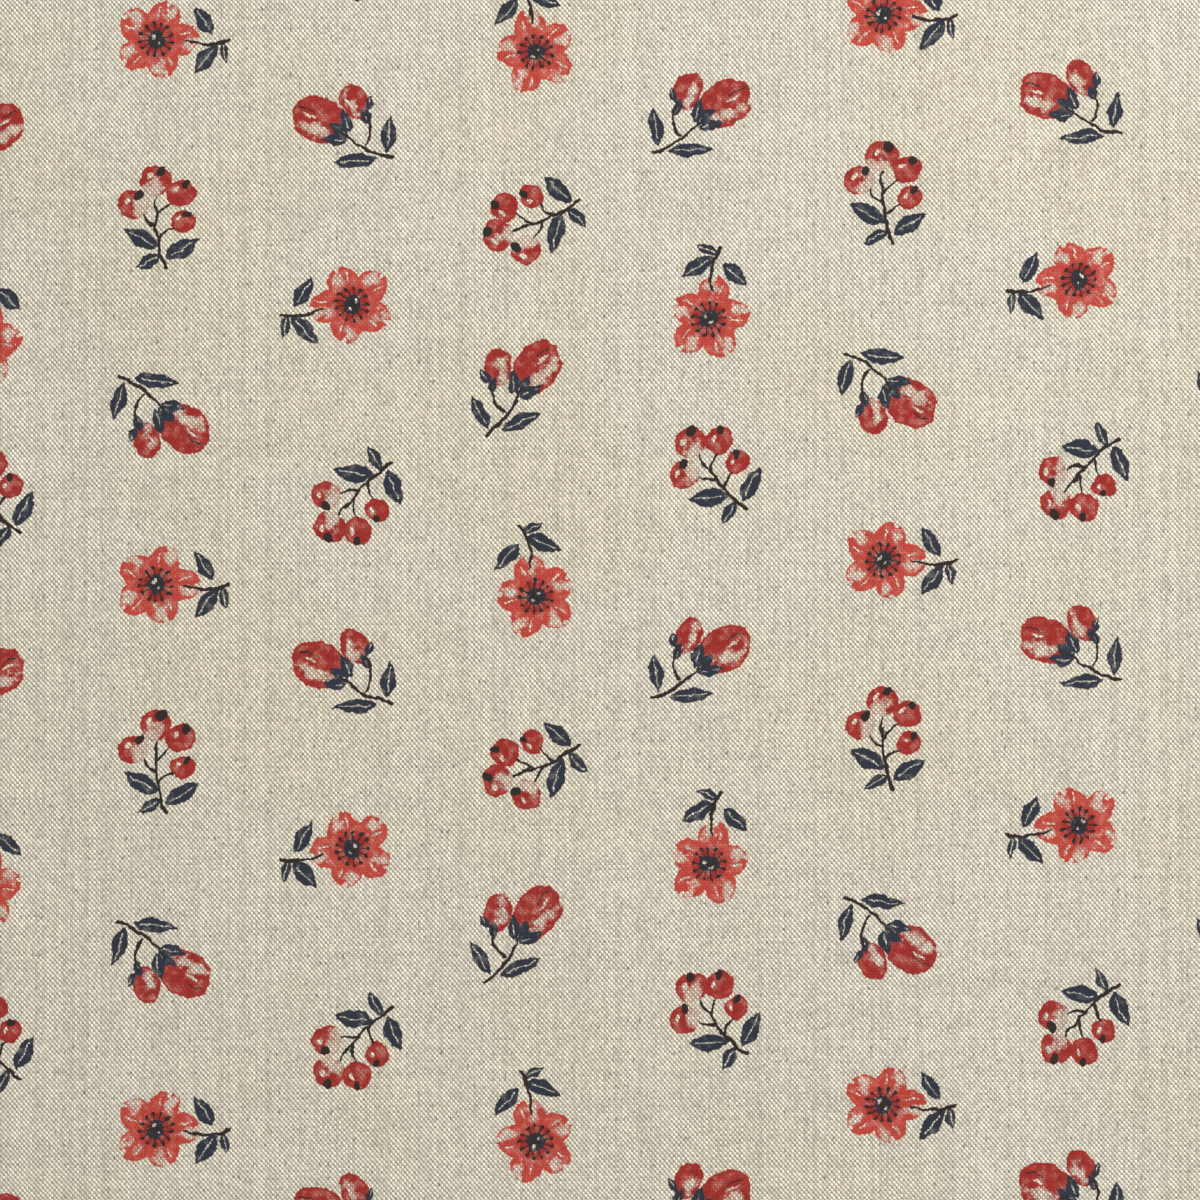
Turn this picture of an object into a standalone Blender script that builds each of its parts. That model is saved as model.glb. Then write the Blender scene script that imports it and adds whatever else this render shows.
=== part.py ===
"""A piece of plain-woven linen-look canvas, 70 x 50 cm, lying face up on a floor.

It is a quarter cut of a 140 cm wide furnishing cloth: the warp runs along Y, the weft along X,
and the selvedge, the roll's own woven edge, is the end at -X. The other three sides are cut and
have frayed. Metres, +Z up, with the origin on the floor under the middle of the piece.

The cloth lies flat over its middle. Towards its edges it stands off the floor in low ripples,
and its corners lift a little, as cloth does that has been folded and opened out again.
"""

import math

import bmesh
import bpy

# Driving dimensions, in metres
PIECE_WEFT, PIECE_WARP = 0.70, 0.50  # the cut size, along X and along Y, with its fringes
CANVAS_THICKNESS = 0.0006
SELVEDGE_WIDTH, SELVEDGE_THICKNESS = 0.012, 0.00075
FRINGE_LENGTH, FRINGE_THICKNESS = 0.005, 0.00035
GAP = 0.0003  # the thin cut between neighbouring solids
FACET = 0.0142  # the largest facet of the solids

# How the cloth lies: ripples that grow from the flat middle towards the edges
FLAT_SHARE = 0.5  # of the way from the middle to the edges
RIPPLE_HEIGHT = 0.0032
RIPPLE_WEFT, RIPPLE_WARP = 0.233, 0.187  # from crest to crest
RIPPLE_PHASES = (0.9, -0.6)
CORNER_LIFTS = {  # corner as signs of X and Y: height, and how far in it reaches
    (1, -1): (0.0075, 0.085),
    (-1, 1): (0.0045, 0.070),
    (1, 1): (0.0030, 0.060),
    (-1, -1): (0.0022, 0.055),
}

FINISHES = {  # base colour, roughness
    "printed_canvas": ((0.60, 0.53, 0.42), 0.85),
    "plain_selvedge": ((0.66, 0.60, 0.50), 0.85),
    "loose_yarn": ((0.68, 0.62, 0.52), 0.9),
}


def smooth_step(low, high, value):
    share = min(1.0, max(0.0, (value - low) / (high - low)))
    return share * share * (3 - 2 * share)


def lift(x, y):
    """How far the underside of the cloth stands off the floor."""
    half_x, half_y = PIECE_WEFT / 2, PIECE_WARP / 2
    reach = ((x / half_x) ** 4 + (y / half_y) ** 4) ** 0.25
    crest_x = math.cos(2 * math.pi * x / RIPPLE_WEFT + RIPPLE_PHASES[0])
    crest_y = math.cos(2 * math.pi * y / RIPPLE_WARP + RIPPLE_PHASES[1])
    height = RIPPLE_HEIGHT * smooth_step(FLAT_SHARE, 1, reach) * (1 + crest_x * crest_y) / 2
    for (side_x, side_y), (rise, radius) in CORNER_LIFTS.items():
        away = math.hypot(x - side_x * half_x, y - side_y * half_y)
        height += rise * max(0.0, 1 - away / radius) ** 2
    return height


def material(name):
    colour, roughness = FINISHES[name]
    made = bpy.data.materials.get(name) or bpy.data.materials.new(name)
    made.use_nodes = True
    shader = made.node_tree.nodes["Principled BSDF"]
    shader.inputs["Base Color"].default_value = (*colour, 1)
    shader.inputs["Roughness"].default_value = roughness
    shader.inputs["Metallic"].default_value = 0
    return made


def stations(low, high):
    """Even stations from low to high, no further apart than one facet."""
    count = math.ceil((high - low) / FACET)
    return [low + (high - low) * k / count for k in range(count + 1)]


def strip(name, x_range, y_range, thickness, finish):
    """A rectangle of cloth that follows the lie of the piece, as a closed solid."""
    bm = bmesh.new()
    rows = []
    for y in stations(*y_range):
        rows.append([bm.verts.new((x, y, lift(x, y))) for x in stations(*x_range)])
    for low, high in zip(rows, rows[1:]):
        for a, b, c, d in zip(low, low[1:], high[1:], high):
            bm.faces.new((d, c, b, a))
    upper = bmesh.ops.extrude_face_region(bm, geom=bm.faces[:], use_keep_orig=True)["geom"]
    upper = [piece for piece in upper if isinstance(piece, bmesh.types.BMVert)]
    bmesh.ops.translate(bm, verts=upper, vec=(0, 0, thickness))
    bmesh.ops.recalc_face_normals(bm, faces=bm.faces)
    mesh = bpy.data.meshes.new(name)
    bm.to_mesh(mesh)
    bm.free()
    mesh.shade_smooth()
    mesh.set_sharp_from_angle(angle=math.radians(40))
    mesh.materials.append(material(finish))
    made = bpy.data.objects.new(name, mesh)
    bpy.context.scene.collection.objects.link(made)


def main():
    for old in list(bpy.data.objects):
        bpy.data.objects.remove(old)

    half_x, half_y = PIECE_WEFT / 2, PIECE_WARP / 2
    woven_y = (-half_y + FRINGE_LENGTH + GAP, half_y - FRINGE_LENGTH - GAP)
    selvedge_x = -half_x + FRINGE_LENGTH + GAP
    canvas_x = selvedge_x + SELVEDGE_WIDTH + GAP
    cut_x = half_x - FRINGE_LENGTH - GAP

    strip("canvas", (canvas_x, cut_x), woven_y, CANVAS_THICKNESS, "printed_canvas")
    selvedge = (selvedge_x, selvedge_x + SELVEDGE_WIDTH)
    strip("selvedge", selvedge, woven_y, SELVEDGE_THICKNESS, "plain_selvedge")

    fringe = (FRINGE_THICKNESS, "loose_yarn")
    full_x = (-half_x, half_x)
    strip("fringe_front", full_x, (-half_y, -half_y + FRINGE_LENGTH), *fringe)
    strip("fringe_back", full_x, (half_y - FRINGE_LENGTH, half_y), *fringe)
    strip("fringe_cut_side", (half_x - FRINGE_LENGTH, half_x), woven_y, *fringe)
    strip("fringe_selvedge", (-half_x, -half_x + FRINGE_LENGTH), woven_y, *fringe)


main()
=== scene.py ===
"""The looks of a piece of printed linen-look canvas, 70 x 50 cm, laid face up on a floor.

The warp runs along Y and the weft along X. The file follows the cloth as it is made: the canvas
with its weave and its print, then the selvedge, the frayed edges, and last the floor, the lights
and the camera. Metres throughout, except in the print, whose drawings are in millimetres.
"""

import math

import bmesh
import bpy
from mathutils.kdtree import KDTree
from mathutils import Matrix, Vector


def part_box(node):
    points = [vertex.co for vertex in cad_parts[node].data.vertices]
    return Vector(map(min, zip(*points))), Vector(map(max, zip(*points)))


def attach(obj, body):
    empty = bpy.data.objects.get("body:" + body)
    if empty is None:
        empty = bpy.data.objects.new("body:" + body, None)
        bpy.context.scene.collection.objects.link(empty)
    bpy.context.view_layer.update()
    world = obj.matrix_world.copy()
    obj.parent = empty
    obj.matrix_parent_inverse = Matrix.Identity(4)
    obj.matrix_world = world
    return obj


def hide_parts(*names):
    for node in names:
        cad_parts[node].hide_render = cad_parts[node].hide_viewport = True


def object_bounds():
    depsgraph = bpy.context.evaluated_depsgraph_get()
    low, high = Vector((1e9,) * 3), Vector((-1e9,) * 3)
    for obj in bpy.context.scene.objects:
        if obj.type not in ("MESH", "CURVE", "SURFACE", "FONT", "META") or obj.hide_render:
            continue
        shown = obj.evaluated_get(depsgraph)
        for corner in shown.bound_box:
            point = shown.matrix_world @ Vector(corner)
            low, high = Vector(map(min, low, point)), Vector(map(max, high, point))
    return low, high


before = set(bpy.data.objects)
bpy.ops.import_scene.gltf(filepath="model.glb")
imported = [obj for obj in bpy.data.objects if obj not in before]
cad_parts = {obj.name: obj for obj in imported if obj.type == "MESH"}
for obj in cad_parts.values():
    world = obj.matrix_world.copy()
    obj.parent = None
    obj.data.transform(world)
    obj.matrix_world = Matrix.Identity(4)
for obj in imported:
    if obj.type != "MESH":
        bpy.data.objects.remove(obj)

cad_low, cad_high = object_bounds()


# ---- The canvas
# A plain weave of cream warp and grey-beige weft, 18 by 16 yarns to the centimetre, 0.6 mm thick.
# It is woven wide and printed on its face. This piece is cut from it at the front, the back and +X,
# and was folded before it was laid out.

# How it lies: flat over its middle, in low ripples towards its edges, with lifted corners. Even the
# flat part keeps waves a fraction of a millimetre high.

HALF_WEFT, HALF_WARP = cad_high.x, cad_high.y
FLAT_SHARE = 0.5  # of the way from the middle to the edges
SQUARENESS = 4  # of the flat part, which would be an oval at 2
RIPPLE_HEIGHT = 0.0032
RIPPLE_WEFT, RIPPLE_WARP = 0.233, 0.187  # from crest to crest
RIPPLE_PHASES = (0.9, -0.6)
CORNER_LIFTS = {  # corner as signs of X and Y: height, and how far in it reaches
    (1, -1): (0.0075, 0.085),
    (-1, 1): (0.0045, 0.070),
    (1, 1): (0.0030, 0.060),
    (-1, -1): (0.0022, 0.055),
}
FAINT_WAVES = (  # length across X and Y, phase
    (0.071, 0.113, 0.4),
    (-0.127, 0.059, 2.1),
    (0.043, -0.081, 4.0),
)
FAINT_HEIGHT = 0.00009  # of each, up and down


def smooth_step(low, high, value):
    share = min(1.0, max(0.0, (value - low) / (high - low)))
    return share * share * (3 - 2 * share)


def lie(x, y):
    """How far the underside of the cloth stands off the floor."""
    reach = (abs(x / HALF_WEFT) ** SQUARENESS + abs(y / HALF_WARP) ** SQUARENESS) ** (1 / SQUARENESS)
    crest_x = math.cos(2 * math.pi * x / RIPPLE_WEFT + RIPPLE_PHASES[0])
    crest_y = math.cos(2 * math.pi * y / RIPPLE_WARP + RIPPLE_PHASES[1])
    height = RIPPLE_HEIGHT * smooth_step(FLAT_SHARE, 1, reach) * (1 + crest_x * crest_y) / 2
    for (side_x, side_y), (rise, radius) in CORNER_LIFTS.items():
        away = math.hypot(x - side_x * HALF_WEFT, y - side_y * HALF_WARP)
        height += rise * max(0.0, 1 - away / radius) ** 2
    for across, along, phase in FAINT_WAVES:
        height += FAINT_HEIGHT * (1 + math.sin(2 * math.pi * (x / across + y / along) + phase))
    return height


# Its sheet: a closed mesh over its lie, from the cut at +X to the seam with the selvedge.

CANVAS_THICKNESS = 0.0006
CLOTH_STEP = 0.0035  # the mesh's
PRINTED, UNPRINTED = 1.0, 0.0  # what a face's printed_side says
SHARP_ANGLE = math.radians(40)  # the least at which an edge looks sharp, so the cuts do
OPENING_POINTS = 8
OPENING_START = math.radians(-146.25)  # the first point's direction
OPENING_REACH = 0.3  # of the cell's diagonal

canvas_low, canvas_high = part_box("canvas")
selvedge_low, selvedge_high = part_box("selvedge")
SEAM_X = (selvedge_high.x + canvas_low.x) / 2  # where the canvas turns into its selvedge


def even_stations(low, high, step):
    count = math.ceil((high - low) / step)
    return [low + (high - low) * k / count for k in range(count + 1)]


def opening(bm, corners):
    """The points of an opening round the middle of a cell, two for each of its corners."""
    middle = sum((corner.co for corner in corners), corners[0].co * 0) / len(corners)
    reach = (corners[2].co - corners[0].co).xy.length * OPENING_REACH
    ring = []
    for k in range(OPENING_POINTS):
        angle = OPENING_START + 2 * math.pi * k / OPENING_POINTS
        away = (reach * math.cos(angle), reach * math.sin(angle))
        ring.append(bm.verts.new((middle.x + away[0], middle.y + away[1], middle.z)))
    return ring


def grid_outline(rows, columns):
    """The places round a grid of points, as (row, column), once round."""
    places = [(0, column) for column in range(columns)]
    places += [(row, columns - 1) for row in range(1, rows)]
    places += [(rows - 1, column) for column in range(columns - 2, -1, -1)]
    return places + [(row, 0) for row in range(rows - 2, 0, -1)]


def new_object(name, data):
    made = bpy.data.objects.new(name, data)
    bpy.context.scene.collection.objects.link(made)
    return made


def lay_cloth(name, xs, ys, thickness, holes=()):
    """A closed sheet over these stations, with a map named cloth that holds its flat place in metres.

    A hole is a cell of the grid, as (column, row), with an opening through it.
    """
    bm = bmesh.new()
    flat = bm.loops.layers.uv.new("cloth")
    face_side = bm.faces.layers.float.new("printed_side")
    rings = {hole: [] for hole in holes}

    def add(corners, side=UNPRINTED):
        face = bm.faces.new(corners)
        face[face_side] = side
        for loop in face.loops:
            loop[flat].uv = loop.vert.co.xy

    def grid(level):
        return [[bm.verts.new((x, y, lie(x, y) + level)) for x in xs] for y in ys]

    def add_round_opening(corners, ring, side):
        for k, corner in enumerate(corners):
            following = (k + 1) % len(corners)
            add((corner, ring[2 * k + 1], ring[2 * k]), side)
            add((corner, corners[following], ring[2 * following], ring[2 * k + 1]), side)

    under, upper = grid(0), grid(thickness)
    for level, side in ((under, UNPRINTED), (upper, PRINTED)):
        for row in range(len(ys) - 1):
            for column in range(len(xs) - 1):
                corners = [level[row][column], level[row][column + 1]]
                corners += [level[row + 1][column + 1], level[row + 1][column]]
                if (column, row) in rings:
                    ring = opening(bm, corners)
                    rings[column, row].append(ring)
                    add_round_opening(corners, ring, side)
                else:
                    add(corners, side)
    for low_ring, high_ring in rings.values():
        for k in range(OPENING_POINTS):
            add((low_ring[k], low_ring[k - 1], high_ring[k - 1], high_ring[k]))
    outline = grid_outline(len(ys), len(xs))
    for (row_a, column_a), (row_b, column_b) in zip(outline, outline[1:] + outline[:1]):
        add((under[row_a][column_a], under[row_b][column_b],
             upper[row_b][column_b], upper[row_a][column_a]))
    bmesh.ops.recalc_face_normals(bm, faces=bm.faces)
    mesh = bpy.data.meshes.new(name)
    bm.to_mesh(mesh)
    bm.free()
    mesh.shade_smooth()
    mesh.set_sharp_from_angle(angle=SHARP_ANGLE)
    return new_object(name, mesh)


canvas_cloth = lay_cloth(
    "canvas_cloth",
    even_stations(SEAM_X, canvas_high.x, CLOTH_STEP),
    even_stations(canvas_low.y, canvas_high.y, CLOTH_STEP),
    CANVAS_THICKNESS,
)


# Its weave: warp and weft pass over and under each other by turns. The spun yarns are uneven: each
# has its own tone, thick and thin places, and now and then a dark speck of husk. Painted shade
# darkens the gaps between them.

WARP_PITCH, WEFT_PITCH = 0.000545, 0.000613
WARP_WIDTH, WEFT_WIDTH = 1.02, 1.0  # of a yarn, in pitches
CRIMP = 0.85  # how far a yarn rises over the next one, in yarn heights, as all heights below
WARP_WANDER, WEFT_WANDER = (38, 0.0006), (31, 0.0007)  # the noise's scale, how much it moves a yarn
WARP_SWELL, WEFT_SWELL = (0.006, 0.9), (0.005, 1.1)  # a thick place's length, its height
YARN_APART = 3.71  # from one yarn to the next in the noise, so that neighbours differ
WEFT_APART = 0.37  # from the warp's noise to the weft's
WEFT_CHANCES = 7  # the row of chances that is the weft's
OVERLAP = 0.25  # a yarn that is higher than the other by this hides it
WARP_TONE, WEFT_TONE, CROSSING_TONE = 0.19, 0.18, 0.33  # how much yarns and crossings differ
BATCH_SCALE, BATCH_TONE = 150, 0.15  # of the batches of fibre
SLANT_TONE = 0.24  # deepens the diagonal that falls to the right
GAP_SHADE_HEIGHTS, GAP_SHADE = (-0.3, 0.85), 0.29  # painted shade where the yarns sink: the heights where it is deepest and where it ends, and what is left of the colour at its deepest
HUSK_SCALES, HUSK_EDGES, HUSK_TONE = (0.8, 0.4), (0.29, 0.38), 0.5


def set_inputs(node, **values):
    for label, value in values.items():
        node.inputs[label.replace("_", " ")].default_value = value


class Field:
    """A value that changes over a surface. Arithmetic on it adds Math nodes to its tree."""

    def __init__(self, socket):
        self.socket = socket

    def math(self, operation, *others):
        tree = self.socket.id_data
        node = tree.nodes.new("ShaderNodeMath")
        node.operation = operation
        for place, value in zip(node.inputs, (self, *others)):
            if isinstance(value, Field):
                tree.links.new(value.socket, place)
            else:
                place.default_value = value
        return Field(node.outputs[0])

    def __add__(self, other):
        return self.math("ADD", other)

    def __sub__(self, other):
        return self.math("SUBTRACT", other)

    def __rsub__(self, other):
        return self.math("MULTIPLY_ADD", -1, other)

    def __mul__(self, other):
        return self.math("MULTIPLY", other)

    def __truediv__(self, other):
        return self.math("DIVIDE", other)

    def __abs__(self):
        return self.math("ABSOLUTE")

    __radd__ = __add__

    def at_least(self, other):
        return self.math("MAXIMUM", other)

    def at_most(self, other):
        return self.math("MINIMUM", other)

    def step(self, low, high):
        """0 below low and 1 above high, with a smooth change between. High may be the lower one."""
        node = self.socket.id_data.nodes.new("ShaderNodeMapRange")
        node.interpolation_type = "SMOOTHSTEP"
        set_inputs(node, From_Min=low, From_Max=high)
        self.socket.id_data.links.new(self.socket, node.inputs["Value"])
        return Field(node.outputs["Result"])

    def mixed(self, other, share):
        """This value where share is 0, and the other where it is 1."""
        node = self.socket.id_data.nodes.new("ShaderNodeMix")
        for socket, value in zip(node.inputs, (share, None, self, other)):
            if value is not None:
                self.socket.id_data.links.new(value.socket, socket)
        return Field(node.outputs[0])


def split(vector):
    node = vector.id_data.nodes.new("ShaderNodeSeparateXYZ")
    vector.id_data.links.new(vector, node.inputs[0])
    return Field(node.outputs["X"]), Field(node.outputs["Y"])


def paired(x, y):
    """A vector of two values and 1."""
    tree = x.socket.id_data
    node = tree.nodes.new("ShaderNodeCombineXYZ")
    set_inputs(node, Z=1)
    tree.links.new(x.socket, node.inputs["X"])
    tree.links.new(y.socket, node.inputs["Y"])
    return node.outputs[0]


NOISE_MIDDLE = 0.5  # the nodes' own noise lies about it


def cloud(vector, scale, detail=2.0, dimensions="2D"):
    """Smooth noise about 0, within about 0.3 of it."""
    node = vector.id_data.nodes.new("ShaderNodeTexNoise")
    node.noise_dimensions = dimensions
    set_inputs(node, Scale=scale, Detail=detail)
    vector.id_data.links.new(vector, node.inputs["Vector"])
    return Field(node.outputs[0]) - NOISE_MIDDLE


def chance(vector):
    """A number within 0.5 of 0 for each pair of whole numbers."""
    node = vector.id_data.nodes.new("ShaderNodeTexWhiteNoise")
    node.noise_dimensions = "2D"
    vector.id_data.links.new(vector, node.inputs["Vector"])
    return Field(node.outputs["Value"]) - NOISE_MIDDLE


def new_group(name, inputs, outputs, family="Shader"):
    """A node group with these sockets, listed by kind. And its sockets, inputs first."""
    tree = bpy.data.node_groups.new(name, family + "NodeTree")
    for way, sockets in (("INPUT", inputs), ("OUTPUT", outputs)):
        for kind, labels in sockets.items():
            for label in labels:
                tree.interface.new_socket(label, in_out=way, socket_type="NodeSocket" + kind)
    given = tree.nodes.new("NodeGroupInput").outputs
    return tree, given, tree.nodes.new("NodeGroupOutput").inputs


def make_weave():
    tree, given, out = new_group(
        "weave",
        {"Vector": ["Cloth"], "Float": ["Warp Pitch", "Weft Pitch"]},
        {"Float": ["Warp On Top", "Height", "Tone"]},
    )
    cloth = given["Cloth"]
    x, y = split(cloth)

    def wandered(place, wander, pitch):
        """The number of the yarn at this place, as yarns drift a little from their straight lines."""
        scale, distance = wander
        return (place + cloud(cloth, scale) * distance) / Field(given[pitch])

    def swell(yarn, along, length):
        """Thick and thin places along one yarn."""
        return cloud(paired(yarn * YARN_APART, along / length), 1.0, 1.0)

    def half_turns(yarns):
        return yarns * math.pi

    u = wandered(x, WARP_WANDER, "Warp Pitch")
    v = wandered(y, WEFT_WANDER, "Weft Pitch")
    warp_yarn, weft_yarn = u.math("ROUND"), v.math("ROUND")
    warp_rise = half_turns(warp_yarn).math("COSINE") * half_turns(v).math("COSINE")
    weft_rise = half_turns(weft_yarn).math("COSINE") * half_turns(u).math("COSINE")
    warp_round = ((u - warp_yarn) * (2 / WARP_WIDTH)).math("POWER", 2)
    weft_round = ((v - weft_yarn) * (2 / WEFT_WIDTH)).math("POWER", 2)
    warp_swell = swell(warp_yarn, y, WARP_SWELL[0]) * WARP_SWELL[1]
    weft_swell = swell(weft_yarn + WEFT_APART, x, WEFT_SWELL[0]) * WEFT_SWELL[1]
    warp_height = warp_rise * CRIMP - warp_round + warp_swell + 1
    weft_height = 1 - weft_rise * CRIMP - weft_round + weft_swell
    on_top = (warp_height - weft_height).step(-OVERLAP, OVERLAP)
    height = warp_height.at_least(weft_height)

    crossing = chance(paired(warp_yarn, weft_yarn))
    own_warp = chance(paired(warp_yarn, warp_yarn * 0))
    own_weft = chance(paired(weft_yarn * 0 + WEFT_CHANCES, weft_yarn))
    own = (own_weft * WEFT_TONE).mixed(own_warp * WARP_TONE, on_top)
    yarn_tone = own + crossing * CROSSING_TONE + cloud(cloth, BATCH_SCALE) * BATCH_TONE + 1
    slant = 1 - half_turns(u).math("SINE") * half_turns(v).math("SINE") * SLANT_TONE
    # painted shade: the lower the yarns' surface, the darker, deepest in the gaps between yarns
    painted_gap_shade = height.step(*GAP_SHADE_HEIGHTS) * (1 - GAP_SHADE) + GAP_SHADE
    speck = cloud(paired(u * HUSK_SCALES[0], v * HUSK_SCALES[1]), 1.0, 0.0).step(*HUSK_EDGES)
    tone_and_shade = yarn_tone * slant * painted_gap_shade * (1 - speck * HUSK_TONE)
    for label, field in {"Warp On Top": on_top, "Height": height, "Tone": tone_and_shade}.items():
        tree.links.new(field.socket, out[label])
    return tree


weave_group = make_weave()


# Its print: red sprigs and flowers with navy leaves and thin dark stems, tossed over the cloth at
# about 43 mm. They are rotary printed in pigment: solid where the ink is full, grainy where it is
# watered. Shapes are given by how far outside them a point is, so at_most joins two of them, and
# at_least keeps what lies in both.

MM = 1000  # in a metre


def seen_from(point, at=(0, 0), turn=0, size=(1, 1)):
    """How far the point lies along and across a shape at `at` that is turned and sized so.

    The point is a pair, so the 1 in its third place carries the shape's own place.
    """
    angle = math.radians(turn)
    parts = []
    for way, half in ((angle, size[0]), (angle + math.pi / 2, size[1])):
        x, y = math.cos(way) / half, math.sin(way) / half
        node = point.id_data.nodes.new("ShaderNodeVectorMath")
        node.operation = "DOT_PRODUCT"
        node.inputs[1].default_value = (x, y, -at[0] * x - at[1] * y)
        point.id_data.links.new(point, node.inputs[0])
        parts.append(Field(node.outputs["Value"]))
    return parts


def length(x, y):
    return y.math("MULTIPLY_ADD", y, x * x).math("SQRT")


def oval(point, at, size, turn=0):
    """How far outside an oval of these half sizes, and below 0 inside."""
    away = length(*seen_from(point, at, turn, size))
    return away.math("MULTIPLY_ADD", min(size), -min(size))


LEAF_TAPER, LEAF_FULLNESS = 0.25, 0.5  # how fast it narrows from its stalk, the least that is left
VEIN_REACH, VEIN_HALF = 0.66, 0.13  # of the leaf's half length, and half its width in mm


def leaf(point, at, size, turn):
    """As an oval, with a point at both ends and fullest near its stalk. And its middle vein."""
    along, across = seen_from(point, at, turn, size)
    fullness = along.math("MULTIPLY_ADD", -LEAF_TAPER, 1).at_least(LEAF_FULLNESS)
    across = abs(across)
    blade = (across - (1 - along * along) * fullness) * size[1]
    vein = across.math("MULTIPLY_ADD", size[1], -VEIN_HALF)
    return blade, vein.at_least(abs(along).math("MULTIPLY_ADD", size[0], -VEIN_REACH * size[0]))


def foliage(point, *leaves):
    """All the blades as one shape, and all their veins. A leaf is its middle, half sizes and turn."""
    blades, veins = zip(*(leaf(point, *each) for each in leaves))
    return union(blades), union(veins)


def union(fields):
    first, *others = fields
    for other in others:
        first = first.at_most(other)
    return first


STROKE_NARROWING = 0.2  # of its width, that each side loses on its way


def stroke(point, start, end, width, bend):
    """A thin line from start to end that bows sideways by bend and narrows towards its end."""
    run = math.dist(start, end)
    turn = math.degrees(math.atan2(end[1] - start[1], end[0] - start[0]))
    along, across = seen_from(point, start, turn)
    beyond = along - along.at_least(0).at_most(run)
    bowed = (run - along).math("MULTIPLY", along * (-4 * bend / run**2)) + across
    half_width = along.math("MULTIPLY_ADD", -width * STROKE_NARROWING / run, width / 2)
    return length(beyond, bowed) - half_width


def berry_sprig(point):
    berries = (  # middle, radius, the fork that its stalk comes from
        ((-6.3, 3.5), 3.9, (-0.6, -2.5)),
        ((-0.3, 9.4), 4.1, (-0.3, 1.5)),
        ((6.1, 5.6), 3.7, (-0.5, -0.5)),
        ((6.5, -1.9), 3.1, (0.2, -5.5)),
    )
    stem_foot, stem_tip, stem_width, stem_bend = (1.6, -13.5), (-0.3, 2.5), 1.05, 0.9
    stalk_width, stalk_bend = 0.9, 0.4
    rim = 0.1  # of a berry's radius, from its lit part to its shade
    stalks = [stroke(point, stem_foot, stem_tip, stem_width, stem_bend)]
    body, light, shade, crown = [], [], [], []
    for middle, radius, fork in berries:

        def on_berry(at, size, turn=0):
            """An oval on this berry, with its place and its half sizes as shares of the radius."""
            place = (middle[0] + at[0] * radius, middle[1] + at[1] * radius)
            return oval(point, place, (size[0] * radius, size[1] * radius), turn)

        inside = radius / math.dist(middle, fork)
        stalk_tip = [middle[k] + (fork[k] - middle[k]) * inside for k in range(2)]
        stalks.append(stroke(point, fork, stalk_tip, stalk_width, stalk_bend))
        body.append(on_berry((0, 0), (1, 0.93)))
        light.append(on_berry((-0.32, 0.3), (0.24, 0.14), 35))
        shade.append(radius * rim - on_berry((-0.3, 0.32), (1, 1)))
        crown.append(on_berry((0.4, 0.6), (0.36, 0.28), 50))
    blades, veins = foliage(
        point,
        ((-4.7, -5.2), (5.3, 2.4), 148),
        ((6.2, -8.8), (5.0, 2.3), 28),
        ((-2.7, -11.6), (3.7, 1.6), 205),
    )
    return {
        "red": union(body),
        "watered": oval(point, (-2.6, 4.4), (5.2, 2.6), 60),
        "shade": union(shade),
        "navy": blades,
        "vein": veins,
        "line": union(stalks + crown),
        "bare": union(light),
    }


def flower_head(point):
    heart, heart_size = (0.0, 3.9), (2.5, 2.3)
    petal_count, petal_turn = 5, 0.35
    petal_middle, petal_size = (5.4, 0), (4.5, 4.1)
    petal_spread, petal_steps = 0.06, (2.4, 1)  # how much their lengths differ, by a wave over them
    notch_middle, notch_size, notch_edge = (10.1, 0.3), (1.5, 0.7), 0.1
    stamen_count, stamen_reach, thread_width = 13, 4.2, 0.17
    shade_reach, crease_reach, crease_slope, crease_width = 4.6, 7.4, 0.16, 0.14
    x, y = seen_from(point, heart)
    angle, reach = y.math("ARCTAN2", x), length(x, y)

    def folded(count, start=0.0):
        """One sector of the flower, which stands for all of them, and the sector's number."""
        sector = 2 * math.pi / count
        number = ((angle + start) / sector).math("ROUND")
        turned = angle + start - number * sector
        return turned.math("COSINE") * reach, turned.math("SINE") * reach, number

    along, across, number = folded(petal_count, petal_turn)
    wave = (number * petal_steps[0] + petal_steps[1]).math("SINE")
    petal = paired(along * (wave * petal_spread + (1 - petal_spread)), across)
    notch = notch_edge - oval(petal, notch_middle, notch_size)
    crease = abs(abs(across) - along * crease_slope) - crease_width
    ring_along, ring_across, _ = folded(stamen_count)
    pollen = oval(paired(ring_along, ring_across), (stamen_reach, 0), (0.55, 0.48))
    thread = (abs(ring_across) - thread_width).at_least(reach - stamen_reach)
    blades, veins = foliage(
        point,
        ((4.9, -9.2), (5.0, 2.2), 36),
        ((-5.2, -8.2), (4.6, 2.1), 146),
        ((3.1, -14.0), (3.1, 1.3), -14),
    )
    return {
        "red": oval(petal, petal_middle, petal_size).at_least(notch),
        "watered": oval(petal, (7.6, 1.5), (1.7, 1.2), 20),
        "shade": (reach - shade_reach).at_most(crease.at_least(reach - crease_reach)),
        "navy": blades.at_most(oval(point, heart, heart_size)),
        "vein": veins,
        "line": union([pollen, thread, stroke(point, (-0.2, -15.0), (0.2, -3.6), 1.05, -1.0)]),
        "bare": union([
            oval(point, (-0.8, 4.8), (0.62, 0.4), 30),
            oval(point, (0.9, 3.3), (0.35, 0.28)),
            oval(petal, (6.7, -1.5), (1.2, 0.2), -12),
        ]),
    }


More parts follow.
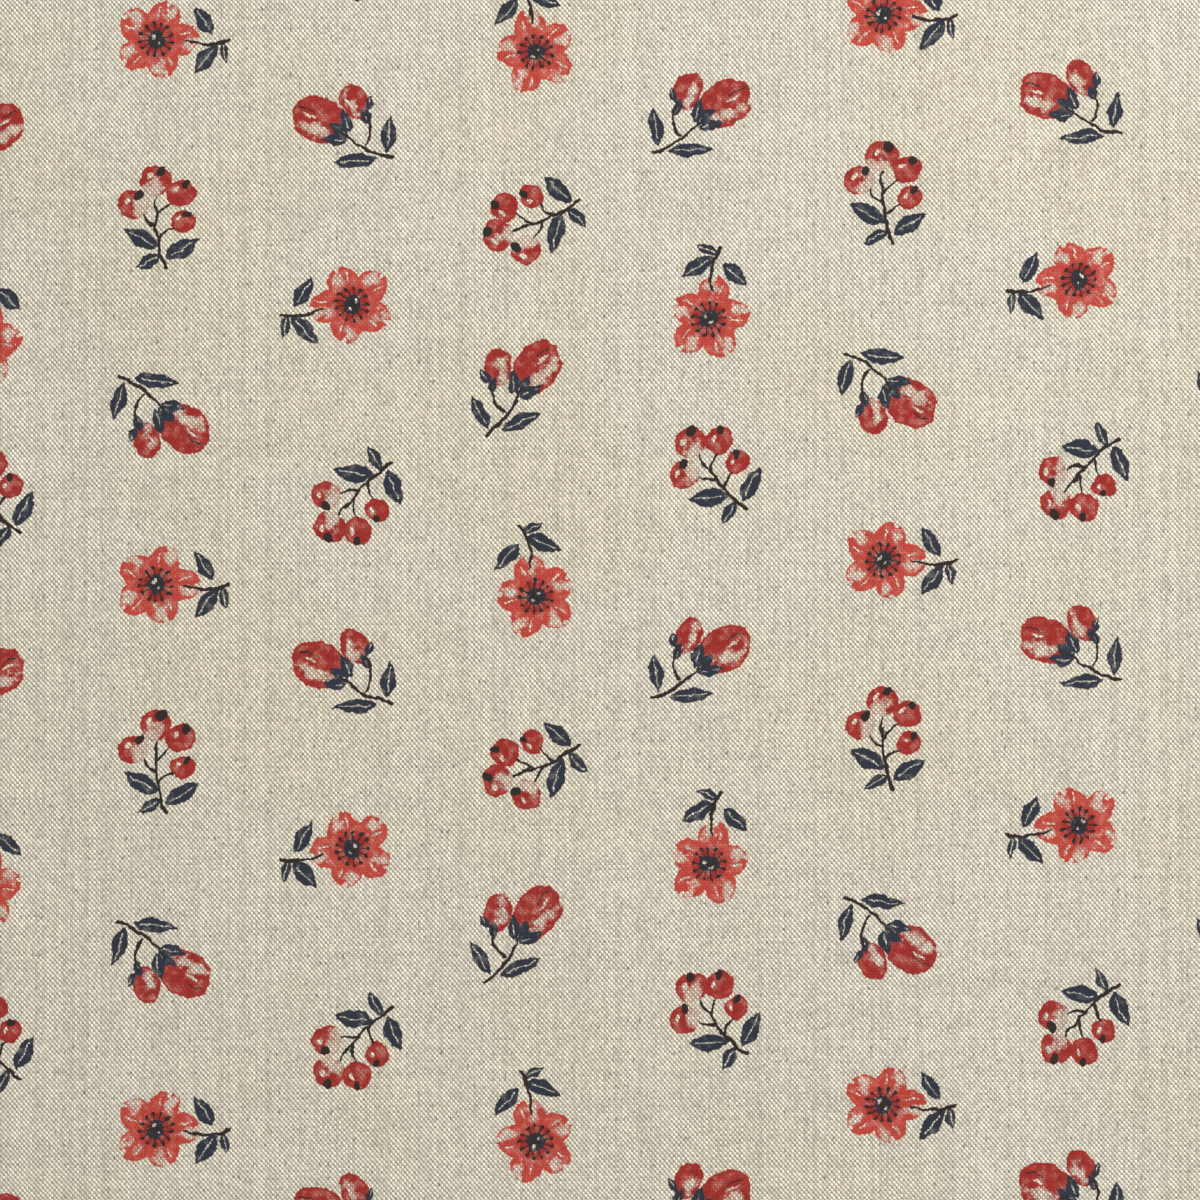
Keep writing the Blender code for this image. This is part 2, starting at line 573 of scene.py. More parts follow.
def bud_spray(point):
    shade_edge = {"large": 1.0, "small": 0.5}  # mm past the lit part
    fold_width = 0.2
    blades, veins = foliage(
        point,
        ((-3.9, 0.6), (3.4, 1.6), 122),
        ((1.5, 0.8), (3.4, 1.6), 58),
        ((-1.2, 1.1), (3.0, 1.5), 92),
        ((5.6, -2.7), (2.4, 1.2), 66),
        ((8.7, -1.7), (2.2, 1.1), 20),
        ((-5.6, -7.2), (6.0, 2.0), 128),
        ((5.1, -10.4), (5.1, 1.9), 30),
    )
    return {
        "red": union([
            oval(point, (-1.6, 7.2), (5.3, 7.0), 8),
            oval(point, (-4.9, 6.0), (2.7, 5.6), 14),
            oval(point, (7.0, 1.9), (3.5, 4.8), -26),
        ]),
        "watered": union([
            oval(point, (-4.5, 6.4), (1.2, 3.8), 14),
            oval(point, (5.6, 1.7), (0.8, 2.4), -26),
        ]),
        "shade": union([
            shade_edge["large"] - oval(point, (-3.4, 7.4), (4.6, 6.6), 8),
            oval(point, (-1.2, 2.4), (3.2, 2.0), 8),
            abs(oval(point, (-5.4, 7.0), (4.9, 7.0), 4)) - fold_width,
            shade_edge["small"] - oval(point, (5.8, 2.1), (3.0, 4.4), -26),
        ]),
        "navy": blades,
        "vein": veins,
        "line": union([
            stroke(point, (0.6, -15.0), (-1.3, 0.4), 1.1, 1.2),
            stroke(point, (-0.4, -7.2), (6.0, -2.4), 0.9, -1.2),
            stroke(point, (-2.2, 13.0), (-1.0, 8.8), 0.4, 0.5),
        ]),
        "bare": union([
            oval(point, (-2.3, 9.4), (0.32, 1.7), 12),
            oval(point, (-3.3, 5.2), (0.25, 0.9), 16),
            oval(point, (5.9, 3.2), (0.28, 1.0), -24),
        ]),
    }


RED_INK, DEEP_RED_INK = (0.530, 0.064, 0.045), (0.32, 0.022, 0.018)
NAVY_INK, LINE_INK = (0.026, 0.033, 0.050), (0.028, 0.021, 0.019)
HAND_SHAKE = ((0.3, 1.5, 31), (1.3, 0.5, 57))  # noise scale, mm that lines stray, shift for along
BRUSH_SCALE, STREAK_SCALE = 0.42, 1.6  # of the painter's uneven strokes, and of their bristles
INK_MASKS = {  # layer, how much brush and streak shift its edge, where past it the mask is 0 and 1
    "red": ("red", 0, 0.6, 0.28, 0.06),
    "pooled": ("red", 0, 0.6, -0.57, -0.12),
    "thin": ("watered", 3.5, 1.6, 0.9, -0.7),
    "deep": ("shade", 2.6, 1.0, 0.5, -0.5),
    "navy": ("navy", 0, 0.5, 0.1, -0.12),
    "vein": ("vein", 0, 0.2, 0.12, -0.08),
    "line": ("line", 0, 0.2, 0.1, -0.06),
    "bare": ("bare", 0, 0.5, 0.12, -0.12),
}
RED_COVER, THIN_LOSS, POOLED_GAIN = 0.99, 0.52, 0.12  # of the cloth that the ink covers
NAVY_COVER, VEIN_LOSS = 1.02, 0.5
BRUSH_COVER = 0.4  # how much it varies with the brush
BARE_LOSS, BARE_LINE_LOSS = 0.85, 0.7
DEEP_SHARE, DEEP_BRUSH = 0.8, 0.9  # of the deep red in the shade, and by the brush


def mix_colours(tree, share, below, above, blend="MIX"):
    """The mixed colour. Each of the two is a colour's socket or its three numbers."""
    node = tree.nodes.new("ShaderNodeMix")
    node.data_type, node.blend_type = "RGBA", blend
    sockets = [s for s in node.inputs if s.type == "RGBA"]
    if isinstance(share, Field):
        tree.links.new(share.socket, node.inputs["Factor"])
    else:
        node.inputs["Factor"].default_value = share
    for socket, value in zip(sockets, (below, above)):
        if isinstance(value, tuple):
            socket.default_value = (*value, 1)
        else:
            tree.links.new(value, socket)
    return [s for s in node.outputs if s.type == "RGBA"][0]


def make_drawing(draw):
    """The node group of one drawing: its ink, and how much of the cloth the ink covers."""
    tree, given, out = new_group(
        draw.__name__, {"Vector": ["Cloth", "Drawing"]}, {"Color": ["Ink"], "Float": ["Cover"]}
    )
    x, y = split(given["Cloth"])
    x, y = x * MM, y * MM
    millimetres = paired(x, y)
    across, along = split(given["Drawing"])
    for scale, distance, shift in HAND_SHAKE:
        across += cloud(millimetres, scale, 1.0) * distance
        along += cloud(paired(y + shift, x), scale, 1.0) * distance
    layers = draw(paired(across, along))

    brush, streak = cloud(millimetres, BRUSH_SCALE, 3.0), cloud(millimetres, STREAK_SCALE)
    mask = {}
    for label, (layer, by_brush, by_streak, outside, inside) in INK_MASKS.items():
        edge = layers[layer]
        if by_brush:
            edge = edge + brush * by_brush
        mask[label] = (edge + streak * by_streak).step(outside, inside)
    red_cover = RED_COVER - mask["thin"] * THIN_LOSS + mask["pooled"] * POOLED_GAIN
    red_cover = mask["red"] * (red_cover + brush * BRUSH_COVER)
    navy_cover = mask["navy"] * (NAVY_COVER + brush * BRUSH_COVER) * (1 - mask["vein"] * VEIN_LOSS)
    bare = mask["bare"] * BARE_LOSS
    cover = red_cover.at_least(navy_cover) * (1 - bare)
    cover = cover.at_least(mask["line"] * (1 - bare * BARE_LINE_LOSS))
    deep = mask["deep"] * DEEP_SHARE + brush * DEEP_BRUSH
    ink = mix_colours(tree, deep, RED_INK, DEEP_RED_INK)
    ink = mix_colours(tree, mask["navy"], ink, NAVY_INK)
    ink = mix_colours(tree, mask["line"], ink, LINE_INK)
    tree.links.new(ink, out["Ink"])
    tree.links.new(cover.socket, out["Cover"])
    return tree


DRAWINGS = [make_drawing(draw) for draw in (berry_sprig, flower_head, bud_spray)]

# The drawings stand in columns, every second one half a pitch lower. Twelve places, each with its
# own turn, repeat over the cloth, and a drawing strays a little from its place.

DRAWING_PITCH = 128 / 3  # mm, three rows to the roller's repeat
REPEAT_COLUMNS, REPEAT_ROWS = 4, 3
PRINT_START = (4, 6)  # mm, from the piece's middle to the layout's
PRINT_SKEW = math.tan(math.radians(1.9))  # the rows run up to the right against the weft
STRAY = 2.2  # mm
STRAY_STEPS = ((2.3, 0.5), (3.7, 1.9))  # X's and Y's wave over the places: its step, its start
GOLDEN_TURN = math.pi * (3 - math.sqrt(5))  # from one place to the next, so that none look alike
FIRST_TURN = 0.6
MIRROR_STEPS = (1.7, 0.8)  # as STRAY_STEPS: a drawing is mirrored where its wave is below 0
PRINTED_AT = 0.9  # the drawings are drawn larger than they are printed
DRAWING_REACH = 19.0  # mm from a drawing's middle to the middle of the last face that it can touch


def toss_drawings():
    """Where each drawing stands over the piece: its kind, its middle, its turn and its mirroring."""

    def wave(place, steps):
        return math.sin(place * steps[0] + steps[1])

    tossed = []
    spare = 2  # columns and rows past the piece's edges
    columns = math.ceil(HALF_WEFT * MM / DRAWING_PITCH) + spare
    rows = math.ceil(HALF_WARP * MM / DRAWING_PITCH) + spare
    for column in range(-columns, columns):
        for row in range(-rows, rows):
            odd = column % 2
            place = column % REPEAT_COLUMNS * REPEAT_ROWS + row % REPEAT_ROWS
            x = (column + 0.5) * DRAWING_PITCH + STRAY * wave(place, STRAY_STEPS[0]) + PRINT_START[0]
            y = (row + 0.5 - odd / 2) * DRAWING_PITCH + STRAY * wave(place, STRAY_STEPS[1])
            y += PRINT_START[1] + x * PRINT_SKEW
            kind = (row + odd) % len(DRAWINGS)
            turn = place * GOLDEN_TURN + FIRST_TURN
            tossed.append((kind, (x, y), turn, math.copysign(1, wave(place, MIRROR_STEPS))))
    return tossed


tossed_drawings = toss_drawings()
drawing_finder = KDTree(len(tossed_drawings))
for drawing_number, (_, drawing_middle, _, _) in enumerate(tossed_drawings):
    drawing_finder.insert((*drawing_middle, 0), drawing_number)
drawing_finder.balance()


def lay_print(piece, finishes):
    """Prints a piece that has its bare finish. These finishes are the ones with each drawing.

    Each face takes the drawing nearest to it, and a map named drawing holds its place on that one.
    """
    mesh = piece.data
    drawn = mesh.uv_layers.new(name="drawing")
    for finish in finishes:
        mesh.materials.append(finish)
    for face in mesh.polygons:
        middle = face.center * MM
        _, nearest, away = drawing_finder.find((middle.x, middle.y, 0))
        if away > DRAWING_REACH or face.center.x < SEAM_X:
            continue
        kind, (at_x, at_y), turn, mirror = tossed_drawings[nearest]
        cosine, sine = math.cos(turn), math.sin(turn)
        face.material_index = 1 + kind
        for corner in face.loop_indices:
            spot = mesh.vertices[mesh.loops[corner].vertex_index].co * MM
            x = spot.x - at_x
            y = spot.y - at_y - x * PRINT_SKEW
            x, y = x / PRINTED_AT, y / PRINTED_AT
            drawn.data[corner].uv = ((x * cosine + y * sine) * mirror, y * cosine - x * sine)


# Its finish: the two yarn colours under the weave's tone and its painted gap shade, and the ink on
# its face.

WEFT_COLOUR, WARP_COLOUR = (0.438, 0.399, 0.312), (0.903, 0.853, 0.719)
WARM_TINT, WARM_SCALE, WARM_EDGES = (1.0, 0.985, 0.945), 16, (-0.2, 0.2)  # faint, wide patches
WEFT_ROUGHNESS, WARP_SMOOTHER, INK_SMOOTHER = 0.94, 0.04, 0.1
WEAVE_DEPTH = 0.00012  # of the bump
STRIKE_THROUGH = 0.13  # what shows of the print on the back
GRAIN_HEIGHT, GRAIN = 0.65, 1.6  # watered ink is thinner on yarns above this height, and by this
INK_TONE, TONE_IN_INK = 0.5, 0.55  # ink's own tone, and what it takes of the weave's tone with its painted gap shade
FIBRE_FINISH = {  # loose fibres keep a spun yarn matt, with a faint bloom
    "Specular IOR Level": 0.2,
    "Sheen Weight": 0.06,
    "Sheen Roughness": 0.5,
}
BUMP_STRENGTH = 0.6


def new_finish(name):
    """A new material, its tree and its shader."""
    made = bpy.data.materials.new(name)
    made.use_nodes = True
    return made, made.node_tree, made.node_tree.nodes["Principled BSDF"]


def mapped(tree, name):
    """The place that this map of the piece holds."""
    node = tree.nodes.new("ShaderNodeUVMap")
    node.uv_map = name
    return node.outputs[0]


def placed(tree, group, **inputs):
    """The outputs of a group that stands in this tree with these links and values."""
    node = tree.nodes.new("ShaderNodeGroup")
    node.node_tree = group
    for label, value in inputs.items():
        socket = node.inputs[label.replace("_", " ")]
        if isinstance(value, bpy.types.NodeSocket):
            tree.links.new(value, socket)
        else:
            socket.default_value = value
    return node.outputs


def woven(tree, cloth, warp_pitch):
    """The weave with this warp: where the warp is on top, its height, and its tone with painted shade
    in the gaps.
    """
    values = placed(tree, weave_group, Cloth=cloth, Warp_Pitch=warp_pitch, Weft_Pitch=WEFT_PITCH)
    return (Field(values[label]) for label in ("Warp On Top", "Height", "Tone"))


def toned(tree, colour, tone_and_shade):
    """A colour multiplied by a value."""
    node = tree.nodes.new("ShaderNodeCombineColor")
    for socket in node.inputs:
        tree.links.new(tone_and_shade.socket, socket)
    return mix_colours(tree, 1.0, colour, node.outputs[0], "MULTIPLY")


def yarn_surface(tree, shader, height, roughness, depth):
    """The bump and the sheen of spun yarn."""
    bump = tree.nodes.new("ShaderNodeBump")
    set_inputs(bump, Strength=BUMP_STRENGTH, Distance=depth)
    tree.links.new(height.socket, bump.inputs["Height"])
    tree.links.new(bump.outputs[0], shader.inputs["Normal"])
    tree.links.new(roughness.socket, shader.inputs["Roughness"])
    set_inputs(shader, **FIBRE_FINISH)


def make_printed_canvas(name, drawing=None):
    """The canvas with this drawing on it, or bare."""
    made, tree, shader = new_finish(name)
    cloth = mapped(tree, "cloth")
    on_top, height, tone_and_shade = woven(tree, cloth, WARP_PITCH)
    colour = mix_colours(tree, on_top, WEFT_COLOUR, WARP_COLOUR)
    warm = cloud(cloth, WARM_SCALE).step(*WARM_EDGES)
    # the weave's tone and its painted gap shade darken the yarn colours
    colour = toned(tree, mix_colours(tree, warm, colour, WARM_TINT, "MULTIPLY"), tone_and_shade)
    roughness = WEFT_ROUGHNESS - on_top * WARP_SMOOTHER
    if drawing:
        inked = placed(tree, drawing, Cloth=cloth, Drawing=mapped(tree, "drawing"))
        side = tree.nodes.new("ShaderNodeAttribute")
        side.attribute_name = "printed_side"
        face = Field(side.outputs["Fac"]) * (PRINTED - STRIKE_THROUGH) + STRIKE_THROUGH
        full = Field(inked["Cover"]) * face
        grain = (GRAIN_HEIGHT - height) * (1 - full) * full * GRAIN
        share = (full + grain).at_least(0).at_most(1)
        ink = toned(tree, inked["Ink"], tone_and_shade * TONE_IN_INK + INK_TONE)
        colour = mix_colours(tree, share, colour, ink)
        roughness = roughness - share * INK_SMOOTHER
    tree.links.new(colour, shader.inputs["Base Color"])
    yarn_surface(tree, shader, height, roughness, WEAVE_DEPTH)
    return made


canvas_cloth.data.materials.append(make_printed_canvas("printed_canvas"))
lay_print(
    canvas_cloth, [make_printed_canvas("canvas_with_" + each.name, each) for each in DRAWINGS]
)
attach(canvas_cloth, "root")
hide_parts("canvas")


# ---- The selvedge
# The roll's own woven edge, 12 mm wide, close set and unprinted. Two rows of small holes run along
# it, where the pins of the drying frame held the cloth to its width.

SELVEDGE_THICKNESS = 0.00075
SELVEDGE_PITCH = 0.00040  # its warp yarns stand closer
SELVEDGE_WEFT, SELVEDGE_WARP = (0.52, 0.47, 0.37), (0.86, 0.81, 0.67)
SELVEDGE_SMOOTHER = 0.05  # its warp, against its weft
HOLE_CELL = 0.0014
HOLE_ROWS = (0.0042, 0.0072)  # from the selvedge's outer edge
HOLE_COLUMNS = (3, 1)  # of the sheet's grid, where the holes are by turns
HOLE_SPACING = 0.006
LAST_STATION = 0.0022  # from the seam, so that the sheet's faces stay short


def cell_round(middle):
    return [middle - HOLE_CELL / 2, middle + HOLE_CELL / 2]


selvedge_xs = [selvedge_low.x]
for hole_row in HOLE_ROWS:
    selvedge_xs += cell_round(selvedge_low.x + hole_row)
selvedge_xs += [SEAM_X - LAST_STATION, SEAM_X]
hole_count = int((selvedge_high.y - selvedge_low.y) / HOLE_SPACING) - 1
first_hole = (selvedge_low.y + selvedge_high.y - (hole_count - 1) * HOLE_SPACING) / 2
selvedge_ys = [selvedge_low.y]
selvedge_holes = []
for hole in range(hole_count):
    selvedge_holes.append((HOLE_COLUMNS[hole % 2], len(selvedge_ys)))
    selvedge_ys += cell_round(first_hole + hole * HOLE_SPACING)
selvedge_ys.append(selvedge_high.y)

selvedge_cloth = lay_cloth(
    "selvedge_cloth", selvedge_xs, selvedge_ys, SELVEDGE_THICKNESS, selvedge_holes
)


def make_plain_selvedge():
    made, tree, shader = new_finish("plain_selvedge")
    on_top, height, tone_and_shade = woven(tree, mapped(tree, "cloth"), SELVEDGE_PITCH)
    colour = toned(tree, mix_colours(tree, on_top, SELVEDGE_WEFT, SELVEDGE_WARP), tone_and_shade)
    tree.links.new(colour, shader.inputs["Base Color"])
    yarn_surface(tree, shader, height, WEFT_ROUGHNESS - on_top * SELVEDGE_SMOOTHER, WEAVE_DEPTH)
    return made


selvedge_cloth.data.materials.append(make_plain_selvedge())
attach(selvedge_cloth, "root")
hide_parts("selvedge")


# ---- The frayed edges
# Past the last crossing the yarns are loose: warp ends at the front and back, weft ends at the
# sides. Each is two plies twisted together, which part at the tip.

YARN_DARK, YARN_LIGHT = (0.52, 0.465, 0.365), (0.84, 0.785, 0.64)
FIBRE_SCALE, FIBRE_SHARE = 2600, 1.2  # of the single fibres, and how far they mix the two colours
BLOTCH_SCALE = 240
LIGHT_EDGES = (0.1, 0.9)  # of the two noises together, about their middle
YARN_ROUGHNESS, BLOTCH_ROUGHNESS = 0.92, 0.1
FIBRE_DEPTH = 0.00006  # of the bump
SOAKED = 0.9  # of the print's ink on loose yarns, give or take the fibres


def make_loose_yarn(name, drawing=None):
    """A loose yarn as far as this drawing goes, or an unprinted one."""
    made, tree, shader = new_finish(name)
    place = tree.nodes.new("ShaderNodeTexCoord").outputs["Object"]
    fibre = cloud(place, FIBRE_SCALE, dimensions="3D")
    blotch = cloud(place, BLOTCH_SCALE, dimensions="3D")
    share = (fibre * FIBRE_SHARE + blotch + NOISE_MIDDLE).step(*LIGHT_EDGES)
    colour = mix_colours(tree, share, YARN_DARK, YARN_LIGHT)
    if drawing:
        inked = placed(tree, drawing, Cloth=place, Drawing=mapped(tree, "drawing"))
        soaked = (Field(inked["Cover"]) * (fibre + SOAKED)).at_least(0).at_most(1)
        colour = mix_colours(tree, soaked, colour, inked["Ink"])
    tree.links.new(colour, shader.inputs["Base Color"])
    roughness = YARN_ROUGHNESS + blotch * BLOTCH_ROUGHNESS
    yarn_surface(tree, shader, fibre, roughness, FIBRE_DEPTH)
    return made


loose_yarn = make_loose_yarn("loose_yarn")
printed_yarns = [make_loose_yarn("yarn_with_" + each.name, each) for each in DRAWINGS]

WAVE_TURN, TWIST_TURN, HUMP_TURN = 2100, 5200, 900  # radians for each metre of yarn
WAVE_SHARE = 0.22  # of the wander
HUMP_HEIGHT = 0.0004
PHASES = 6.28  # radians, about a turn: where a yarn's waves may start
PLY_APART, TIP_APART, TIP_SHARES = 0.5, 1.6, (0.6, 1.0)  # in yarn radii, and where the tip opens
TIP_THINNING, THINNING_SHARES = 0.6, (0.5, 1.15)
RESTS_AT = 1.2  # yarn radii over the strip
RAY_HEIGHT, RAY_LENGTH = 0.1, 1.0  # of the ray that finds the strip below a yarn
SECTION_SIDES = 4
STUB = 0.001  # the line that each ply is drawn out from


def make_fringe_tree():
    """Yarns side by side along an edge of the strip that they lie on."""
    inputs = {
        "Geometry": ["Strip"],
        "Vector": ["Start", "Along", "Outward"],
        "Int": ["Count", "Plies", "Points", "Seed"],
        "Float": ["Pitch", "Length", "Shortest", "Yarn Radius", "Wander"],
        "Material": ["Material"],
    }
    tree, given, out = new_group("fringe", inputs, {"Geometry": ["Yarns"]}, "Geometry")
    longest, pitch, radius, wander, shortest, plies = (
        Field(given[label])
        for label in ("Length", "Pitch", "Yarn Radius", "Wander", "Shortest", "Plies")
    )

    def node(kind, links, **settings):
        """The outputs of a new node. A link's value is a field, a socket or a constant."""
        made = tree.nodes.new(kind)
        for setting, value in settings.items():
            setattr(made, setting, value)
        for label, value in links.items():
            if isinstance(value, Field):
                value = value.socket
            if isinstance(value, bpy.types.NodeSocket):
                tree.links.new(value, made.inputs[label])
            else:
                made.inputs[label].default_value = value
        return made.outputs

    def scaled(direction, amount):
        return node("ShaderNodeVectorMath", {0: direction, "Scale": amount}, operation="SCALE")[0]

    def summed(*vectors):
        total = vectors[0]
        for other in vectors[1:]:
            total = node("ShaderNodeVectorMath", {0: total, 1: other}, operation="ADD")[0]
        return total

    def random_number(own_seed, low, high, index):
        made = tree.nodes.new("FunctionNodeRandomValue")
        floats = [s for s in made.inputs if s.type == "VALUE"]
        floats[0].default_value, floats[1].default_value = low, high
        tree.links.new(index.socket, made.inputs["ID"])
        tree.links.new((Field(given["Seed"]) + own_seed).socket, made.inputs["Seed"])
        return Field([s for s in made.outputs if s.type == "VALUE"][0])

    # one short line for each ply, at its yarn's root
    def root_of(yarn):
        return summed(given["Start"], scaled(given["Along"], yarn * pitch))

    index = Field(node("GeometryNodeInputIndex", {})[0])
    root = root_of((index / plies).math("FLOOR"))
    strands = Field(given["Count"]) * plies
    points = node("GeometryNodePoints", {"Count": strands, "Position": root})[0]
    named = {"Geometry": points, "Name": "strand", "Value": index}
    named = node("GeometryNodeStoreNamedAttribute", named, data_type="FLOAT")[0]
    line = node("GeometryNodeCurvePrimitiveLine", {"Start": (0, 0, 0), "End": (0, 0, STUB)})[0]
    line = node("GeometryNodeResampleCurve", {"Curve": line, "Count": given["Points"]})[0]
    lines = node("GeometryNodeInstanceOnPoints", {"Points": named, "Instance": line})[0]
    lines = node("GeometryNodeRealizeInstances", {"Geometry": lines})[0]

    # its length, its lean and its waves
    strand = Field(node("GeometryNodeInputNamedAttribute", {"Name": "strand"})[0])
    yarn = (strand / plies).math("FLOOR")
    ply = strand - yarn * plies
    share = Field(node("GeometryNodeSplineParameter", {})["Factor"])
    reach = random_number(1, 0, 1, yarn) * (1 - shortest) + shortest
    run = share * reach * longest
    lean = random_number(2, -1, 1, yarn) * share * share * wander
    phase = random_number(3, 0, PHASES, yarn)
    wave = (run * WAVE_TURN + phase).math("SINE") * share * wander * WAVE_SHARE
    twist = run * TWIST_TURN + phase + ply * math.pi
    ply_shift = radius * (share.step(*TIP_SHARES) * TIP_APART + PLY_APART) * (plies - 1)
    sideways = lean + wave + twist.math("SINE") * ply_shift
    flat = summed(root_of(yarn), scaled(given["Outward"], run), scaled(given["Along"], sideways))

    # the strip below carries it, but for its humps
    ray = {
        "Target Geometry": given["Strip"], "Source Position": summed(flat, (0, 0, RAY_HEIGHT)),
        "Ray Direction": (0, 0, -1), "Ray Length": RAY_LENGTH,
    }
    met = node("GeometryNodeRaycast", ray)["Hit Position"]
    lifted = Field(node("ShaderNodeSeparateXYZ", {"Vector": met})["Z"]) + radius * RESTS_AT
    lifted = lifted + (twist.math("COSINE") + 1) * ply_shift * 0.5
    lifted = lifted + (phase + run * HUMP_TURN).math("SINE").at_least(0) * share * HUMP_HEIGHT
    flat_x, flat_y = split(flat)
    place = node("ShaderNodeCombineXYZ", {"X": flat_x, "Y": flat_y, "Z": lifted})[0]
    laid = node("GeometryNodeSetPosition", {"Geometry": lines, "Position": place})[0]

    # the yarn itself, finer towards its tip
    girth = radius * (1 - share.step(*THINNING_SHARES) * TIP_THINNING)
    section = {"Resolution": SECTION_SIDES, "Radius": 1.0}
    section = node("GeometryNodeCurvePrimitiveCircle", section)[0]
    tube = {"Curve": laid, "Profile Curve": section, "Scale": girth, "Fill Caps": True}
    tube = node("GeometryNodeCurveToMesh", tube)[0]
    tube = node("GeometryNodeSetShadeSmooth", {"Geometry": tube, "Shade Smooth": True})[0]
    tube = node("GeometryNodeRealizeInstances", {"Geometry": tube})[0]
    tube = node("GeometryNodeSetMaterial", {"Geometry": tube, "Material": given["Material"]})[0]
    tree.links.new(tube, out["Yarns"])
    return tree


fringe_tree = make_fringe_tree()


def lay_yarns(name, strip, **values):
    """A plain mesh of the yarns that the fringe's nodes lay on this strip."""
    holder = new_object(name + "_strip", strip)
    modifier = holder.modifiers.new("yarns", "NODES")
    modifier.node_group = fringe_tree
    for item in fringe_tree.interface.items_tree:
        label = item.name.replace(" ", "_")
        if item.in_out == "INPUT" and label in values:
            modifier[item.identifier] = values[label]
    graph = bpy.context.evaluated_depsgraph_get()
    mesh = bpy.data.meshes.new_from_object(holder.evaluated_get(graph))
    bpy.data.objects.remove(holder)
    mesh.name = name
    return new_object(name, mesh)


STRIP_MARGIN = 0.004


def strip_of_lie(low, high, level=0.0):
    """The lie of the cloth over one fringe and a little past it, as a bare surface."""
    xs = even_stations(low.x - STRIP_MARGIN, high.x + STRIP_MARGIN, CLOTH_STEP)
    ys = even_stations(low.y - STRIP_MARGIN, high.y + STRIP_MARGIN, CLOTH_STEP)
    points = [(x, y, lie(x, y) + level) for y in ys for x in xs]
    faces = []
    for row in range(len(ys) - 1):
        for column in range(len(xs) - 1):
            first = row * len(xs) + column
            faces.append((first, first + 1, first + len(xs) + 1, first + len(xs)))
    mesh = bpy.data.meshes.new("lie")
    mesh.from_pydata(points, [], faces)
    return mesh


YARN_RADIUS = 0.00013  # of one ply
YARN_POINTS = 7
FRAYED, TRIMMED = (0.45, 0.0009), (0.85, 0.0003)  # shortest yarn, as a share, and how far it leans
ROOT_OVERLAP = 0.0006  # how far the loose yarns start inside the woven edge
EDGES = {  # node: the directions along the edge and outward, the pitch of the yarns that end there
    "fringe_front": ((1, 0), (0, -1), WARP_PITCH),
    "fringe_back": ((1, 0), (0, 1), WARP_PITCH),
    "fringe_cut_side": ((0, 1), (1, 0), WEFT_PITCH),
    "fringe_selvedge": ((0, 1), (-1, 0), WEFT_PITCH),
}
SEEDS_FOR_AN_EDGE = 10

LOOSENED = (  # yarns slipped off a cut edge: how far along it they start, how long, how far out
    (0.06, 0.19, 0.0003),
    (0.41, 0.12, 0.0012),
    (0.67, 0.26, 0.0004),
)
LOOSENED_LEVEL = 0.0004  # they lie over the fringe
LOOSENED_RADIUS = YARN_RADIUS * 1.5  # both plies as one
LOOSENED_SHORTEST, LOOSENED_WANDER = 0.8, 0.0016
LOOSENED_STEP = 0.0004  # from point to point

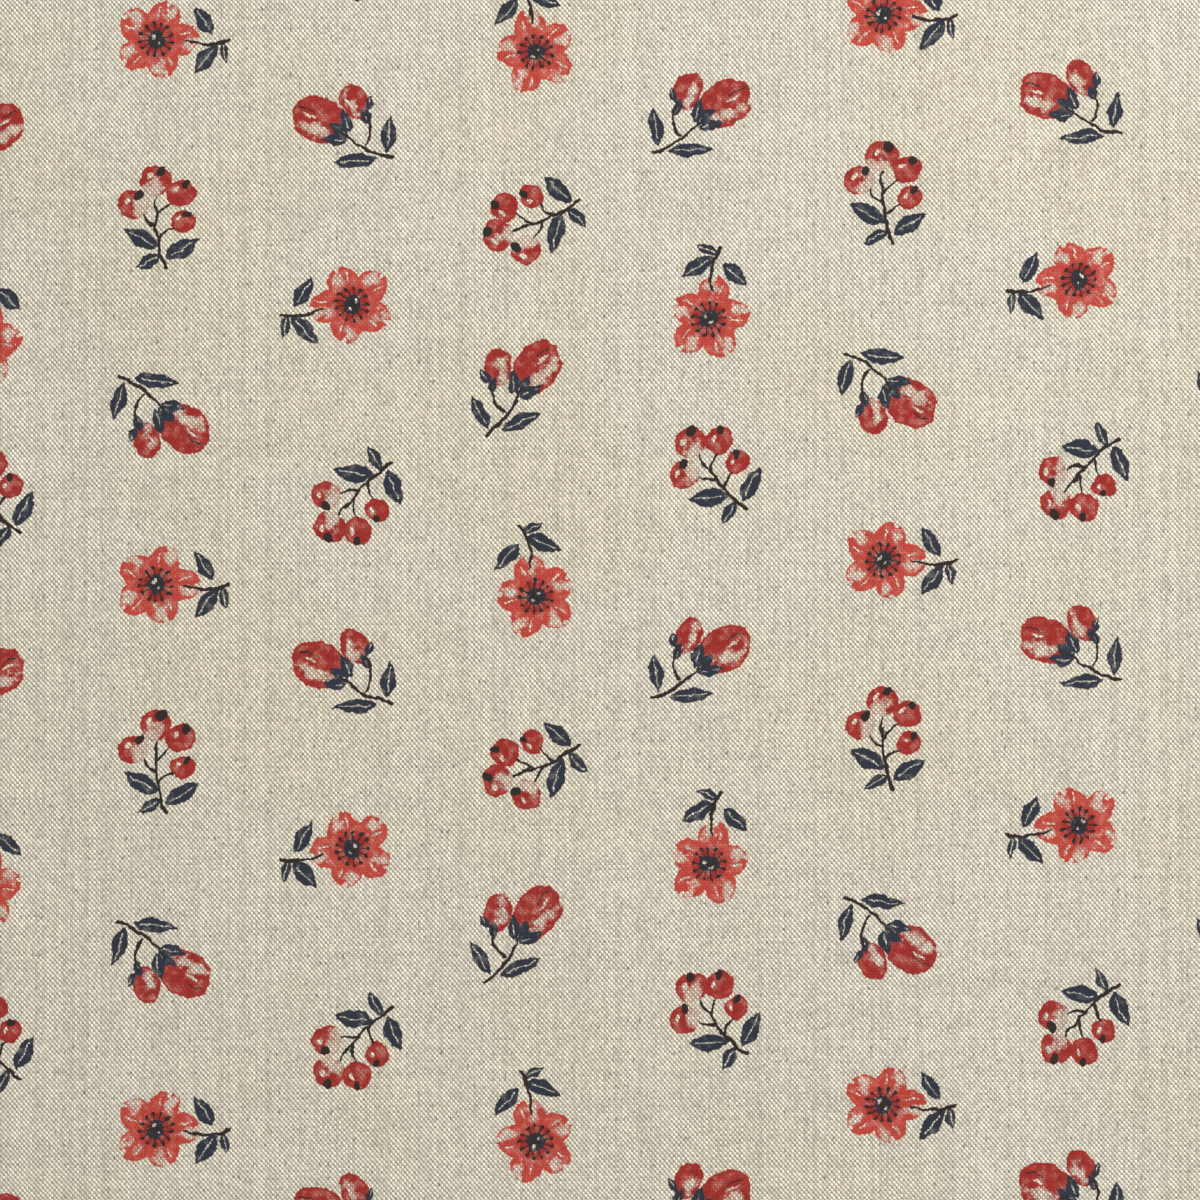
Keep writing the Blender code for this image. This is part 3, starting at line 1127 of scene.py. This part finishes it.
woven_low, woven_high = (selvedge_low.x, canvas_low.y), (canvas_high.x, canvas_high.y)
for edge_number, (node_name, (along, outward, pitch)) in enumerate(EDGES.items()):
    low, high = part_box(node_name)
    depth = min(high.x - low.x, high.y - low.y)
    corner = [woven_high[k] if outward[k] > 0 else woven_low[k] for k in range(2)]
    start = [corner[k] - outward[k] * ROOT_OVERLAP for k in range(2)]
    edge = sum(along[k] * (woven_high[k] - woven_low[k]) for k in range(2))
    trimmed = node_name == "fringe_selvedge"  # the loom's own cutter leaves it even
    shortest, wander = TRIMMED if trimmed else FRAYED
    seed = edge_number * SEEDS_FOR_AN_EDGE
    yarns = lay_yarns(
        node_name + "_yarns",
        strip_of_lie(low, high),
        Start=(*start, 0.0), Along=(*along, 0.0), Outward=(*outward, 0.0),
        Count=int(edge / pitch), Pitch=pitch, Length=depth + ROOT_OVERLAP, Shortest=shortest,
        Yarn_Radius=YARN_RADIUS, Plies=2, Points=YARN_POINTS, Wander=wander, Seed=seed,
        Material=loose_yarn,
    )
    merged = bmesh.new()
    merged.from_mesh(yarns.data)
    for number, (begins, share, out) in enumerate(() if trimmed else LOOSENED):
        begins, out = begins * edge, out + ROOT_OVERLAP
        slipped_start = [start[k] + along[k] * begins + outward[k] * out for k in range(2)]
        slipped = lay_yarns(
            node_name + "_slipped",
            strip_of_lie(low, high, LOOSENED_LEVEL),
            Start=(*slipped_start, 0.0), Along=(*outward, 0.0), Outward=(*along, 0.0),
            Count=1, Pitch=pitch, Length=edge * share, Shortest=LOOSENED_SHORTEST,
            Yarn_Radius=LOOSENED_RADIUS, Plies=1, Points=int(edge * share / LOOSENED_STEP),
            Wander=LOOSENED_WANDER, Seed=seed + number + 1, Material=loose_yarn,
        )
        merged.from_mesh(slipped.data)
        bpy.data.objects.remove(slipped)
    merged.to_mesh(yarns.data)
    merged.free()
    lay_print(yarns, printed_yarns)
    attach(yarns, "root")
    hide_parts(node_name)


# ---- The floor, the lights and the camera
# A plain pale floor, one wide soft light from the upper right with a fill, and a camera that looks
# straight down at the middle of the cloth.

FLOOR_DROP = 0.00005  # keeps the floor just under the cloth
FLOOR_HALF = 15.0
FLOOR_PAINT = {"Base Color": (0.80, 0.79, 0.77, 1), "Roughness": 0.7, "Specular IOR Level": 0.2}
LAMPS = {  # place, width, power
    "key_light": ((0.72, 0.66, 0.90), 0.7, 13.5),
    "fill_light": ((-1.0, -0.7, 1.7), 1.6, 7),
}
STUDIO = {"Color": (1.0, 0.99, 0.97, 1), "Strength": 0.42}
VIEW_WIDTH = 0.282
LENS, SENSOR = 50, 36
NEAREST_SEEN = 0.01

floor_mesh = bpy.data.meshes.new("floor")
floor_mesh.from_pydata(
    [
        (x * FLOOR_HALF, y * FLOOR_HALF, cad_low.z - FLOOR_DROP)
        for x, y in ((-1, -1), (1, -1), (1, 1), (-1, 1))
    ],
    [],
    [(0, 1, 2, 3)],
)
floor = new_object("floor", floor_mesh)
floor_paint, _, floor_shader = new_finish("floor_paint")
set_inputs(floor_shader, **FLOOR_PAINT)
floor_mesh.materials.append(floor_paint)

for lamp_name, (place, width, power) in LAMPS.items():
    lamp = bpy.data.lights.new(lamp_name, "AREA")
    lamp.size, lamp.energy = width, power
    light = new_object(lamp_name, lamp)
    light.location = place
    light.rotation_euler = (-light.location).to_track_quat("-Z", "Y").to_euler()

world = bpy.data.worlds.new("studio")
world.use_nodes = True
set_inputs(world.node_tree.nodes["Background"], **STUDIO)
bpy.context.scene.world = world
bpy.context.scene.view_settings.view_transform = "Standard"

camera_data = bpy.data.cameras.new("camera")
camera_data.lens, camera_data.sensor_width = LENS, SENSOR
camera_data.clip_start = NEAREST_SEEN
camera = new_object("camera", camera_data)
camera.location = (0, 0, CANVAS_THICKNESS + VIEW_WIDTH * LENS / SENSOR)
bpy.context.scene.camera = camera
